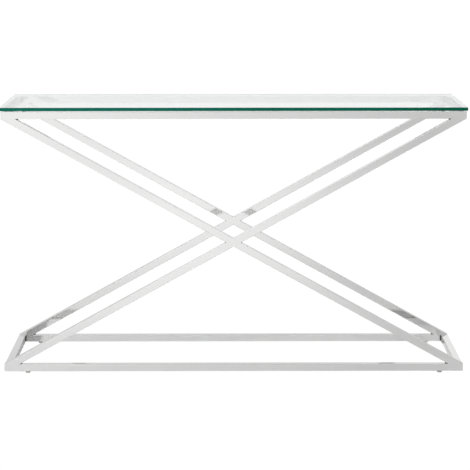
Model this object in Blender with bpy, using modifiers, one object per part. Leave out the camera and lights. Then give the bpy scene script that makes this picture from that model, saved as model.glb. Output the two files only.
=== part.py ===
"""Console table: a clear glass top on a frame of polished square steel tube, with a cross in its front and in its back.

Metres, +Z up. The origin is on the floor under the middle of the table. X runs along the table and -Y is its front.
"""

import math

import bmesh
import bpy
from mathutils import Matrix, Vector

# Glass top
GLASS_LENGTH = 1.400
GLASS_DEPTH = 0.450
GLASS_THICKNESS = 0.010
GLASS_CORNER_RADIUS = 0.003
GLASS_ARRIS = 0.001

# Frame of square tube
FRAME_LENGTH = 1.393
FRAME_DEPTH = 0.443
TUBE = 0.022
TUBE_WALL = 0.0015
TUBE_CORNER_RADIUS = 0.0015
TUBE_CORNER_SEGMENTS = 3

# Heights, from the floor up
FOOT_HEIGHT = 0.006
FRAME_HEIGHT = 0.792
BUMPER_HEIGHT = 0.002
BASE_RAIL_Z = FOOT_HEIGHT + TUBE / 2
TOP_RAIL_Z = FOOT_HEIGHT + FRAME_HEIGHT - TUBE / 2
GLASS_UNDERSIDE_Z = FOOT_HEIGHT + FRAME_HEIGHT + BUMPER_HEIGHT

# Bumpers that the glass lies on, and feet, set in from the ends of the long rails
BUMPER_INSET = 0.070
BUMPER_RADIUS = 0.0055
FOOT_INSET = 0.070

# Levelling foot: an M8 screw with a wide round head, turned in a nut, and a nylon pad snapped under the head
SCREW_RADIUS = 0.004
SCREW_TIP_Z = 0.026
SCREW_TIP_CHAMFER = 0.001
SCREW_HEAD_RADIUS = 0.0075
SCREW_HEAD_TOP_Z = 0.0057
SCREW_HEAD_UNDERSIDE_Z = 0.0020
SCREW_HEAD_EDGE = 0.0004
SOCKET_MOUTH_RADIUS = 0.0028
SOCKET_RADIUS = 0.0038
SOCKET_BOTTOM_Z = 0.0027
SOCKET_TOP_Z = 0.0045
PAD_RADIUS = 0.0067
PAD_THICKNESS = 0.0017
PAD_EDGE = 0.0004
NUT_ACROSS_FLATS = 0.013
NUT_HEIGHT = 0.0065
SCREW_HOLE_RADIUS = 0.0045

# Clearance between two pieces that touch
GAP = 0.0003
# How far a cutter runs past what it cuts
OVERCUT = 0.010
ROUND_STEPS = 32

INNER_HEIGHT = FRAME_HEIGHT - 2 * TUBE
FRAME_MIDDLE_Z = FOOT_HEIGHT + FRAME_HEIGHT / 2
# A diagonal's upper edge starts at the end of the base rail and its lower edge ends at the end of the top rail.
DIAGONAL_ANGLE = math.atan2(INNER_HEIGHT, FRAME_LENGTH) + math.asin(TUBE / math.hypot(FRAME_LENGTH, INNER_HEIGHT))
SIDES = (("left", -1), ("right", 1))
FACES = (("front", -1), ("back", 1))
# name: (colour, roughness, metallic)
FINISHES = {
    "polished_stainless_steel": ((0.80, 0.80, 0.79, 1.0), 0.08, 1.0),
    "clear_float_glass": ((0.80, 0.93, 0.88, 0.35), 0.02, 0.0),
    "clear_soft_plastic": ((0.86, 0.88, 0.88, 0.6), 0.25, 0.0),
    "zinc_plated_steel": ((0.62, 0.63, 0.64, 1.0), 0.35, 1.0),
    "bright_plated_steel": ((0.70, 0.70, 0.70, 1.0), 0.18, 1.0),
    "white_nylon": ((0.78, 0.77, 0.74, 1.0), 0.5, 0.0),
}


def clear_scene():
    for obj in list(bpy.data.objects):
        bpy.data.objects.remove(obj, do_unlink=True)


def new_collection(name):
    collection = bpy.data.collections.new(name)
    bpy.context.scene.collection.children.link(collection)
    return collection


def make_finish(name):
    colour, roughness, metallic = FINISHES[name]
    material = bpy.data.materials.new(name)
    material.use_nodes = True
    shader = material.node_tree.nodes["Principled BSDF"]
    shader.inputs["Base Color"].default_value = colour
    shader.inputs["Roughness"].default_value = roughness
    shader.inputs["Metallic"].default_value = metallic
    material.diffuse_color = colour
    return material


def add_object(name, mesh, collection, finish=None):
    """One object for the mesh. Each piece of the table has a finish; a cutter has none."""
    obj = bpy.data.objects.new(name, mesh)
    collection.objects.link(obj)
    if finish:
        material = make_finish(finish)
        material.name = f"{finish}_{name}"
        mesh.materials.append(material)
    else:
        obj.hide_render = True
        obj.display_type = "WIRE"
    return obj


def box_mesh(name, size):
    """A box of the given size, centred on its origin."""
    bm = bmesh.new()
    bmesh.ops.create_cube(bm, size=1.0)
    bmesh.ops.scale(bm, vec=Vector(size), verts=bm.verts)
    mesh = bpy.data.meshes.new(name)
    bm.to_mesh(mesh)
    bm.free()
    return mesh


def cylinder_mesh(name, radius, depth, segments=ROUND_STEPS):
    """A cylinder along Z, centred on its origin."""
    bm = bmesh.new()
    bmesh.ops.create_cone(
        bm, cap_ends=True, segments=segments, radius1=radius, radius2=radius, depth=depth
    )
    mesh = bpy.data.meshes.new(name)
    bm.to_mesh(mesh)
    bm.free()
    return mesh


def prism_mesh(name, outline, thickness, upright=False):
    """A flat outline given thickness: lying in XY and thickened along Z, or upright in XZ and thickened along Y."""
    bm = bmesh.new()
    half = thickness / 2
    verts = [bm.verts.new((a, half, b) if upright else (a, b, -half)) for a, b in outline]
    face = bm.faces.new(verts)
    raised = bmesh.ops.extrude_face_region(bm, geom=[face])["geom"]
    step = Vector((0, -thickness, 0)) if upright else Vector((0, 0, thickness))
    moved = [item for item in raised if isinstance(item, bmesh.types.BMVert)]
    bmesh.ops.translate(bm, vec=step, verts=moved)
    bmesh.ops.recalc_face_normals(bm, faces=bm.faces)
    mesh = bpy.data.meshes.new(name)
    bm.to_mesh(mesh)
    bm.free()
    return mesh


def bar_mesh(name, length):
    """A solid square bar along X with its four long edges rounded."""
    bm = bmesh.new()
    bmesh.ops.create_cube(bm, size=1.0)
    bmesh.ops.scale(bm, vec=Vector((length, TUBE, TUBE)), verts=bm.verts)
    long_edges = [e for e in bm.edges if abs(e.verts[0].co.x - e.verts[1].co.x) > length / 2]
    bmesh.ops.bevel(
        bm,
        geom=long_edges,
        offset=TUBE_CORNER_RADIUS,
        segments=TUBE_CORNER_SEGMENTS,
        profile=0.5,
        affect="EDGES",
    )
    mesh = bpy.data.meshes.new(name)
    bm.to_mesh(mesh)
    bm.free()
    return mesh


def boolean(obj, cutter, operation):
    modifier = obj.modifiers.new(f"{operation.lower()}_{cutter.name}", "BOOLEAN")
    modifier.object = cutter
    modifier.operation = operation
    modifier.solver = "EXACT"


def set_place(obj, place):
    obj.location = place.to_translation()
    obj.rotation_euler = place.to_euler()


def add_tube(name, length, place, end_cutter, parts, cutters):
    """A length of square tube along its own X, with its ends cut to the shape of end_cutter."""
    tube = add_object(name, bar_mesh(name, length + 2 * OVERCUT), parts, "polished_stainless_steel")
    inside = TUBE - 2 * TUBE_WALL
    bore = add_object(f"{name}_bore", box_mesh(f"{name}_bore", (length + 4 * OVERCUT, inside, inside)), cutters)
    set_place(tube, place)
    set_place(bore, place)
    boolean(tube, bore, "DIFFERENCE")
    boolean(tube, end_cutter, "INTERSECT")
    return tube


def add_mitred_rail(name, length, place, parts, cutters):
    """A rail whose ends are cut at 45 degrees in plan. Its outer face is on its own -Y side."""
    clearance = GAP / 2 * math.sqrt(2)
    reach = TUBE / 2 + OVERCUT
    outer = length / 2 + OVERCUT - clearance
    inner = length / 2 - TUBE - OVERCUT - clearance
    outline = ((-outer, -reach), (outer, -reach), (inner, reach), (-inner, reach))
    end_cutter = add_object(f"{name}_mitre", prism_mesh(f"{name}_mitre", outline, 2 * reach), cutters)
    set_place(end_cutter, place)
    return add_tube(name, length, place, end_cutter, parts, cutters)


def add_rails(level, z, parts, cutters):
    """The four rails of one rectangle, mitred at its corners."""
    rails = {}
    for face, sign in FACES:
        turn = Matrix.Rotation(0 if sign < 0 else math.pi, 4, "Z")
        place = Matrix.Translation((0, sign * (FRAME_DEPTH - TUBE) / 2, z)) @ turn
        name = f"{level}_rail_{face}"
        rails[face] = add_mitred_rail(name, FRAME_LENGTH, place, parts, cutters)
    for side, sign in SIDES:
        turn = Matrix.Rotation(sign * math.pi / 2, 4, "Z")
        place = Matrix.Translation((sign * (FRAME_LENGTH - TUBE) / 2, 0, z)) @ turn
        name = f"{level}_rail_{side}"
        rails[side] = add_mitred_rail(name, FRAME_DEPTH, place, parts, cutters)
    return rails


def add_cross(face, sign, parts, cutters):
    """One diagonal in a single length, rising to the right, and the other in two halves that butt against it."""
    middle = Matrix.Translation((0, sign * (FRAME_DEPTH - TUBE) / 2, FRAME_MIDDLE_Z))
    length = INNER_HEIGHT / math.sin(DIAGONAL_ANGLE) + TUBE / math.tan(DIAGONAL_ANGLE)
    fit = INNER_HEIGHT - 2 * GAP
    deep = TUBE + 2 * OVERCUT

    name = f"{face}_diagonal_long"
    end_cutter = add_object(f"{name}_ends", box_mesh(f"{name}_ends", (2 * FRAME_LENGTH, deep, fit)), cutters)
    set_place(end_cutter, middle)
    add_tube(name, length, middle @ Matrix.Rotation(-DIAGONAL_ANGLE, 4, "Y"), end_cutter, parts, cutters)

    # The half above the long diagonal lies between the top rail and a plane on the long diagonal's upper face.
    # That plane crosses the middle line of the table at this height.
    plane_z = (TUBE / 2 + GAP) / math.cos(DIAGONAL_ANGLE)
    slope = math.tan(DIAGONAL_ANGLE)
    high = fit / 2
    far = FRAME_LENGTH
    outline = (((high - plane_z) / slope, high), (-far, high), (-far, plane_z - far * slope))
    for half, turn in (("upper", 0), ("lower", math.pi)):
        name = f"{face}_diagonal_{half}_half"
        place = middle @ Matrix.Rotation(turn, 4, "Y")
        end_cutter = add_object(f"{name}_ends", prism_mesh(f"{name}_ends", outline, deep, upright=True), cutters)
        set_place(end_cutter, place)
        add_tube(name, length, place @ Matrix.Rotation(DIAGONAL_ANGLE, 4, "Y"), end_cutter, parts, cutters)


def turned_mesh(name, profile, closed):
    """The line that a Screw modifier turns: (radius, height) points, from the top down the outer side."""
    bm = bmesh.new()
    verts = [bm.verts.new((radius, 0, z)) for radius, z in profile]
    ends = zip(verts, verts[1:] + verts[:1]) if closed else zip(verts, verts[1:])
    for start, end in ends:
        bm.edges.new((start, end))
    mesh = bpy.data.meshes.new(name)
    bm.to_mesh(mesh)
    bm.free()
    return mesh


def add_turned(name, profile, parts, finish, closed=False):
    obj = add_object(name, turned_mesh(name, profile, closed), parts, finish)
    screw = obj.modifiers.new("turn", "SCREW")
    screw.axis = "Z"
    screw.steps = ROUND_STEPS
    screw.render_steps = ROUND_STEPS
    screw.use_merge_vertices = True
    screw.merge_threshold = 0.00001
    screw.use_smooth_shade = False
    return obj


def add_glass(parts):
    """The pane: its corners rounded in plan and its sharp edges taken off."""
    bm = bmesh.new()
    bmesh.ops.create_cube(bm, size=1.0)
    bmesh.ops.scale(bm, vec=Vector((GLASS_LENGTH, GLASS_DEPTH, GLASS_THICKNESS)), verts=bm.verts)
    upright = [e for e in bm.edges if abs(e.verts[0].co.z - e.verts[1].co.z) > GLASS_THICKNESS / 2]
    bmesh.ops.bevel(bm, geom=upright, offset=GLASS_CORNER_RADIUS, segments=4, profile=0.5, affect="EDGES")
    around = [e for e in bm.edges if abs(e.verts[0].co.z - e.verts[1].co.z) < GLASS_THICKNESS / 2]
    rim = [e for e in around if any(abs(f.normal.z) < 0.5 for f in e.link_faces)]
    bmesh.ops.bevel(bm, geom=rim, offset=GLASS_ARRIS, segments=1, profile=0.5, affect="EDGES")
    mesh = bpy.data.meshes.new("glass_top")
    bm.to_mesh(mesh)
    bm.free()
    glass = add_object("glass_top", mesh, parts, "clear_float_glass")
    glass.location = (0, 0, GLASS_UNDERSIDE_Z + GLASS_THICKNESS / 2)


def add_bumper(name, x, y, parts):
    """A small clear disc with a rounded rim, stuck on the top rail under the glass."""
    height = BUMPER_HEIGHT - 2 * GAP
    rim = height / 2
    arc = [
        (BUMPER_RADIUS - rim + rim * math.sin(math.radians(a)), height - rim + rim * math.cos(math.radians(a)))
        for a in (0, 30, 60, 90)
    ]
    profile = [(0, height), *arc, (BUMPER_RADIUS, 0), (0, 0)]
    bumper = add_turned(name, profile, parts, "clear_soft_plastic")
    bumper.location = (x, y, FOOT_HEIGHT + FRAME_HEIGHT + GAP)


def add_foot(corner, x, y, rail, parts, cutters):
    """A nut inside the base rail, the screw that turns in it and the nylon pad under the screw's head."""
    hole = add_object(f"foot_hole_{corner}", cylinder_mesh(f"foot_hole_{corner}", SCREW_HOLE_RADIUS, TUBE / 2), cutters)
    hole.location = (x, y, FOOT_HEIGHT)
    boolean(rail, hole, "DIFFERENCE")

    nut_name = f"foot_nut_{corner}"
    nut_radius = NUT_ACROSS_FLATS / 2 / math.cos(math.pi / 6)
    nut = add_object(nut_name, cylinder_mesh(nut_name, nut_radius, NUT_HEIGHT, 6), parts, "zinc_plated_steel")
    nut.location = (x, y, FOOT_HEIGHT + TUBE_WALL + GAP + NUT_HEIGHT / 2)
    bore_name = f"{nut_name}_bore"
    bore = add_object(bore_name, cylinder_mesh(bore_name, SCREW_RADIUS + GAP, 2 * NUT_HEIGHT), cutters)
    bore.location = nut.location
    boolean(nut, bore, "DIFFERENCE")

    # The screw's origin is on its axis, under the middle of its head.
    screw_profile = [
        (0, SCREW_TIP_Z),
        (SCREW_RADIUS - SCREW_TIP_CHAMFER, SCREW_TIP_Z),
        (SCREW_RADIUS, SCREW_TIP_Z - SCREW_TIP_CHAMFER),
        (SCREW_RADIUS, SCREW_HEAD_TOP_Z),
        (SCREW_HEAD_RADIUS - SCREW_HEAD_EDGE, SCREW_HEAD_TOP_Z),
        (SCREW_HEAD_RADIUS, SCREW_HEAD_TOP_Z - SCREW_HEAD_EDGE),
        (SCREW_HEAD_RADIUS, SCREW_HEAD_UNDERSIDE_Z + SCREW_HEAD_EDGE),
        (SCREW_HEAD_RADIUS - SCREW_HEAD_EDGE, SCREW_HEAD_UNDERSIDE_Z),
        (SOCKET_MOUTH_RADIUS, SCREW_HEAD_UNDERSIDE_Z),
        (SOCKET_MOUTH_RADIUS, SOCKET_BOTTOM_Z),
        (SOCKET_RADIUS, SOCKET_BOTTOM_Z),
        (SOCKET_RADIUS, SOCKET_TOP_Z),
        (0, SOCKET_TOP_Z),
    ]
    screw = add_turned(f"foot_screw_{corner}", screw_profile, parts, "bright_plated_steel")
    screw.location = (x, y, 0)

    # The pad's stud widens inside the head's socket, so the pad stays on and turns freely.
    pad_profile = [
        (0, SOCKET_TOP_Z - GAP),
        (SOCKET_RADIUS - GAP, SOCKET_TOP_Z - GAP),
        (SOCKET_RADIUS - GAP, SOCKET_BOTTOM_Z + GAP),
        (SOCKET_MOUTH_RADIUS - GAP, SOCKET_BOTTOM_Z + GAP),
        (SOCKET_MOUTH_RADIUS - GAP, PAD_THICKNESS),
        (PAD_RADIUS - PAD_EDGE, PAD_THICKNESS),
        (PAD_RADIUS, PAD_THICKNESS - PAD_EDGE),
        (PAD_RADIUS, PAD_EDGE),
        (PAD_RADIUS - PAD_EDGE, 0),
        (0, 0),
    ]
    pad = add_turned(f"foot_pad_{corner}", pad_profile, parts, "white_nylon")
    pad.location = (x, y, 0)


def main():
    clear_scene()
    parts = new_collection("console_table")
    cutters = new_collection("cutters")
    cutters.hide_render = True

    add_rails("top", TOP_RAIL_Z, parts, cutters)
    base_rails = add_rails("base", BASE_RAIL_Z, parts, cutters)
    for face, face_sign in FACES:
        add_cross(face, face_sign, parts, cutters)
        y = face_sign * (FRAME_DEPTH - TUBE) / 2
        for side, side_sign in SIDES:
            corner = f"{face}_{side}"
            add_bumper(f"bumper_{corner}", side_sign * (FRAME_LENGTH / 2 - BUMPER_INSET), y, parts)
            add_foot(corner, side_sign * (FRAME_LENGTH / 2 - FOOT_INSET), y, base_rails[face], parts, cutters)
    add_glass(parts)


main()
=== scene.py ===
"""Console table: a clear glass pane on a frame of polished square steel tube, in a plain studio.

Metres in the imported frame: +Z up, X along the table, -Y its front, the origin on the floor under it.
Every new piece is a skin: rings of points worked out as whole arrays, with its place in its mesh.
"""

import logging
import math
from dataclasses import dataclass
from enum import Enum
from typing import Any, Optional, Sequence

import bpy
import numpy as np
from mathutils import Matrix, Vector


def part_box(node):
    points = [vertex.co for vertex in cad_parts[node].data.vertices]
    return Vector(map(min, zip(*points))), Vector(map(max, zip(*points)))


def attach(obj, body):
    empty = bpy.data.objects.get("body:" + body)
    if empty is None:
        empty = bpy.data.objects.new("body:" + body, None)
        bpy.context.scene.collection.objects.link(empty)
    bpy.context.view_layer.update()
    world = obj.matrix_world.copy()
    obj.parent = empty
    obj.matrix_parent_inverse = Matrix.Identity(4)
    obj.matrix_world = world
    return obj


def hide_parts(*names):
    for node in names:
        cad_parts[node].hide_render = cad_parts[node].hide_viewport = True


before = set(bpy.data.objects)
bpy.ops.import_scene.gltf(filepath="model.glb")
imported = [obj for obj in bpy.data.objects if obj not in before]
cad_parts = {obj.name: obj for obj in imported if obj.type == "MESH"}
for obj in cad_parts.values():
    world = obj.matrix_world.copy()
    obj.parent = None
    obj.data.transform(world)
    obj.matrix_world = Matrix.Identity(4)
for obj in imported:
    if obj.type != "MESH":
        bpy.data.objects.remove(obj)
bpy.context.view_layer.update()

LOG = logging.getLogger("console_table")

# The UV map that every skin carries: metres round the piece and metres along it.
LAY = "lay"
# The points of a curve: each a place and the value there.
Curve = tuple[tuple[float, float], ...]
WHITE = "#FFFFFF"
# Edges that turn more than this are shaded sharp.
SHARP_ANGLE = math.radians(30)
# The slanted view in which a cap's points are laid out flat.
CAP_VIEW = np.array([[1.0, 0.0], [0.0, 1.0], [0.7, 0.7]])
# Sockets of a Mix node in its colour form.
MIX_FACTOR, MIX_A, MIX_B, MIX_RESULT = 0, 6, 7, 2

# A face stands upright if its normal rises by less than this.
MOST_UPRIGHT_LEAN = 0.1

X_AXIS = np.array([1.0, 0.0, 0.0])
Y_AXIS = np.array([0.0, 1.0, 0.0])
Z_AXIS = np.array([0.0, 0.0, 1.0])


class Slot(Enum):
    """The record's material slots."""

    GLASS = "glass_pane"
    STEEL = "frame_steel"
    BUMPER = "glass_bumper"
    NUT = "foot_nut"
    SCREW = "foot_screw"
    PAD = "foot_pad"


class Ends(Enum):
    """How the first and last ring of a skin end: each closed by a flat cap, or joined to one another."""

    CAPPED = "capped"
    JOINED = "joined"


class Corner(Enum):
    """The table's corners, each with the signs of its X and its Y."""

    FRONT_LEFT = (-1, -1)
    FRONT_RIGHT = (1, -1)
    BACK_LEFT = (-1, 1)
    BACK_RIGHT = (1, 1)

    @property
    def label(self) -> str:
        """The corner's name as pieces carry it, such as front_left."""
        return self.name.lower()


class Face(Enum):
    """The long faces of the frame that hold a cross, each with the sign of its Y."""

    FRONT = -1
    BACK = 1

    @property
    def label(self) -> str:
        """The face's name as pieces carry it."""
        return self.name.lower()


# --------------------------------------------------------------------------------------------------
# Shader helpers
# --------------------------------------------------------------------------------------------------


def linear(hex_colour: str) -> tuple[float, ...]:
    """Turns an sRGB hex colour into the linear RGBA that a shader takes.

    Args:
        hex_colour: the colour as #RRGGBB.

    Returns:
        Red, green, blue and an alpha of 1.
    """
    channels = np.array([int(hex_colour[i : i + 2], 16) for i in (1, 3, 5)]) / 255
    bright = ((channels + 0.055) / 1.055) ** 2.4
    return (*np.where(channels <= 0.04045, channels / 12.92, bright).tolist(), 1.0)


def per_metre(millimetres: float) -> float:
    """The scale at which a pattern repeats every so many millimetres."""
    return 1000 / millimetres


def add_node(
    tree: bpy.types.NodeTree, kind: str, inputs: Optional[dict[Any, Any]] = None, **settings: Any
) -> bpy.types.Node:
    """Adds a node with its settings and its links.

    Args:
        tree: the node tree that it goes in.
        kind: the type of the node.
        inputs: for an input, by name or number, its constant or the output socket that feeds it.
        settings: the node's own attributes.

    Returns:
        The node.
    """
    node = tree.nodes.new(kind)
    for name, value in settings.items():
        setattr(node, name, value)
    for socket, value in (inputs or {}).items():
        if isinstance(value, bpy.types.NodeSocket):
            tree.links.new(value, node.inputs[socket])
        else:
            node.inputs[socket].default_value = value
    return node


def ramp(
    tree: bpy.types.NodeTree,
    value: bpy.types.NodeSocket,
    stops: Sequence[tuple[float, float]],
    interpolation: str = "CARDINAL",
) -> bpy.types.NodeSocket:
    """A curve through given values.

    Args:
        tree: the node tree.
        value: what it reads, from 0 to 1.
        stops: the places of the stops, from 0 to 1, with the curve's value at each.
        interpolation: how it runs from stop to stop.

    Returns:
        The curve's value. It is stored as a share of the largest, because a ramp's colours end at 1.
    """
    largest = max(level for _, level in stops)
    node = add_node(tree, "ShaderNodeValToRGB", {"Fac": value})
    node.color_ramp.interpolation = interpolation
    elements = node.color_ramp.elements
    for _ in stops[2:]:
        elements.new(0.5)
    for element, (place, level) in zip(elements, sorted(stops)):
        element.position = place
        element.color = (*[level / largest] * 3, 1.0)
    scaled = add_node(tree, "ShaderNodeMath", {0: node.outputs[0], 1: largest}, operation="MULTIPLY")
    return scaled.outputs[0]


def looked_at(tree: bpy.types.NodeTree) -> bpy.types.NodeSocket:
    """Tells what the eye sees straight or through clear glass from what is only mirrored or gives light.

    Args:
        tree: the node tree.

    Returns:
        1 for what is looked at and 0 for the rest.
    """
    path = add_node(tree, "ShaderNodeLightPath")
    both = {0: path.outputs["Is Camera Ray"], 1: path.outputs["Is Transmission Ray"]}
    return add_node(tree, "ShaderNodeMath", both, operation="MAXIMUM").outputs[0]


@dataclass(frozen=True)
class Finish:
    """A surface: what it is made of and how it was made. Each kind draws its own shader."""

    def shade(self, tree: bpy.types.NodeTree) -> bpy.types.Node:
        """Draws the finish in a tree and returns the shader node."""
        raise NotImplementedError

    def material(self, name: str) -> bpy.types.Material:
        """Makes the finish as a material.

        Args:
            name: the material's name.

        Returns:
            The material, with the finish's shader on its output.
        """
        made = bpy.data.materials.new(name)
        made.use_nodes = True
        made.node_tree.nodes.clear()
        shader = self.shade(made.node_tree)
        add_node(made.node_tree, "ShaderNodeOutputMaterial", {"Surface": shader.outputs[0]})
        return made


@dataclass(frozen=True)
class PieceFinish(Finish):
    """A finish of a piece: two colours that a pattern blends, and how smooth and how rough it gets."""

    colour: str
    second: str
    smooth: float
    rough: float

    @staticmethod
    def place(
        tree: bpy.types.NodeTree, size_mm: float, along_mm: Optional[float] = None
    ) -> bpy.types.NodeSocket:
        """Coordinates in which a pattern of unit size gets a real size.

        Args:
            tree: the node tree.
            size_mm: the pattern's size in Object coordinates, or its width round the piece's skin.
            along_mm: its length along the skin, if it follows the skin.

        Returns:
            The scaled coordinates.
        """
        if along_mm is None:
            own = add_node(tree, "ShaderNodeTexCoord").outputs["Object"]
            scale = (per_metre(size_mm),) * 3
        else:
            own = add_node(tree, "ShaderNodeUVMap", uv_map=LAY).outputs["UV"]
            scale = (per_metre(size_mm), per_metre(along_mm), 1.0)
        return add_node(tree, "ShaderNodeMapping", {"Vector": own, "Scale": scale}).outputs[0]

    def lumps(
        self, tree: bpy.types.NodeTree, detail: float, size_mm: float, along_mm: Optional[float] = None
    ) -> bpy.types.NodeSocket:
        """Soft lumps of a real size, with finer ones on them.

        Args:
            tree: the node tree.
            detail: how many layers of finer lumps there are.
            size_mm: their size, or their width round the piece's skin.
            along_mm: their length along the skin, if they follow it.

        Returns:
            Their height, from 0 to 1.
        """
        inputs = {"Vector": self.place(tree, size_mm, along_mm), "Scale": 1.0, "Detail": detail}
        return add_node(tree, "ShaderNodeTexNoise", inputs).outputs[0]

    def surface(
        self,
        tree: bpy.types.NodeTree,
        tone: bpy.types.NodeSocket,
        dull: bpy.types.NodeSocket,
        reliefs: Sequence[tuple[bpy.types.NodeSocket, float]],
        constants: dict[str, float],
        dull_span: tuple[float, float] = (0.0, 1.0),
    ) -> bpy.types.Node:
        """Draws the shader from its patterns.

        Args:
            tree: the node tree.
            tone: the share of the second colour.
            dull: what takes the surface from smooth to rough.
            reliefs: heights from 0 to 1 that tilt the shine, each with its depth in metres.
            constants: the shader's inputs that are the same all over.
            dull_span: the values of dull at which it is smooth and rough.

        Returns:
            The shader node.
        """
        colours = {MIX_FACTOR: tone, MIX_A: linear(self.colour), MIX_B: linear(self.second)}
        colour = add_node(tree, "ShaderNodeMix", colours, data_type="RGBA")
        span = {"Value": dull, "From Min": dull_span[0], "From Max": dull_span[1]}
        ends = {"To Min": self.smooth, "To Max": self.rough}
        roughness = add_node(tree, "ShaderNodeMapRange", {**span, **ends})
        inputs = {"Base Color": colour.outputs[MIX_RESULT], "Roughness": roughness.outputs[0], **constants}
        for height, depth in reliefs:
            bump = {"Height": height, "Strength": 1.0, "Distance": depth}
            if "Normal" in inputs:
                bump["Normal"] = inputs["Normal"]
            inputs["Normal"] = add_node(tree, "ShaderNodeBump", bump).outputs[0]
        return add_node(tree, "ShaderNodeBsdfPrincipled", inputs)


@dataclass(frozen=True)
class PolishedStainless(PieceFinish):
    """Stainless steel tube, ground with fine grit along its length and buffed on a cloth wheel.

    It gives the eye a grey mirror, a little milky, with hair-fine streaks along the tube and slow waves in
    what it reflects, as the wheel leaves them.
    """

    colour: str = "#DCDCDB"
    second: str = "#D8D8D8"
    smooth: float = 0.025
    rough: float = 0.07
    # Buffing streaks: really about 0.1 mm wide, drawn coarser so that they show
    streak_mm: float = 0.9
    streak_length_mm: float = 90.0
    streak_depth: float = 0.0000012
    # The values of the streaks' noise at which the surface is smooth and rough
    streak_span: tuple[float, float] = (0.3, 0.7)
    wave_mm: float = 22.0
    wave_length_mm: float = 140.0
    wave_depth: float = 0.00006

    def shade(self, tree: bpy.types.NodeTree) -> bpy.types.Node:
        """Draws streaks and slow waves along the tube: both tilt the mirror, and streaks dull it.

        Args:
            tree: the node tree that it is drawn in.

        Returns:
            The shader node.
        """
        streaks = self.lumps(tree, 4.0, self.streak_mm, self.streak_length_mm)
        waves = self.lumps(tree, 1.0, self.wave_mm, self.wave_length_mm)
        reliefs = ((waves, self.wave_depth), (streaks, self.streak_depth))
        return self.surface(tree, waves, streaks, reliefs, {"Metallic": 1.0}, self.streak_span)


@dataclass(frozen=True)
class TigWeld(PieceFinish):
    """Stainless TIG weld, brushed clean and left unground in the inner corners.

    It gives the eye a small dark seam with a dull shine, faintly straw-coloured where the heat went. Its
    near-black colour is partly the weld's own and partly painted shade for the narrow inner corners.
    """

    # Near black: the weld's own tone together with painted shade for the inner corners that it sits in
    colour: str = "#4A4846"
    second: str = "#383532"
    smooth: float = 0.32
    rough: float = 0.50
    tint_mm: float = 6.0
    grain_mm: float = 0.5
    grain_depth: float = 0.00002

    def shade(self, tree: bpy.types.NodeTree) -> bpy.types.Node:
        """Draws the heat tint in soft patches and the brushed grain over them.

        Args:
            tree: the node tree that it is drawn in.

        Returns:
            The shader node.
        """
        grain = self.lumps(tree, 3.0, self.grain_mm)
        tint = self.lumps(tree, 2.0, self.tint_mm)
        return self.surface(tree, tint, grain, ((grain, self.grain_depth),), {"Metallic": 1.0})


@dataclass(frozen=True)
class FloatGlass(PieceFinish):
    """Clear float glass, toughened: the two large faces and the narrow polished arrises.

    It gives the eye a clear sheet, a breath of green in it, whose reflection is very slightly drawn by the
    waves that the rollers of the furnace leave.
    """

    colour: str = "#F1F5F4"
    second: str = "#ECF2F0"
    smooth: float = 0.0
    rough: float = 0.03
    ior: float = 1.52
    smudge_mm: float = 160.0
    # The values of the smudges' noise where they begin and where they are thickest
    smudge_span: tuple[float, float] = (0.5, 0.8)
    wave_mm: float = 260.0
    wave_depth: float = 0.00002

    def shade(self, tree: bpy.types.NodeTree) -> bpy.types.Node:
        """Draws a faint haze where the cloth dried, and the roller waves in the reflection.

        Args:
            tree: the node tree that it is drawn in.

        Returns:
            The shader node.
        """
        smudges = self.lumps(tree, 5.0, self.smudge_mm)
        reliefs = ((self.lumps(tree, 0.0, self.wave_mm), self.wave_depth),)
        constants = {"IOR": self.ior, "Transmission Weight": 1.0}
        return self.surface(tree, smudges, smudges, reliefs, constants, self.smudge_span)


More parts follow.
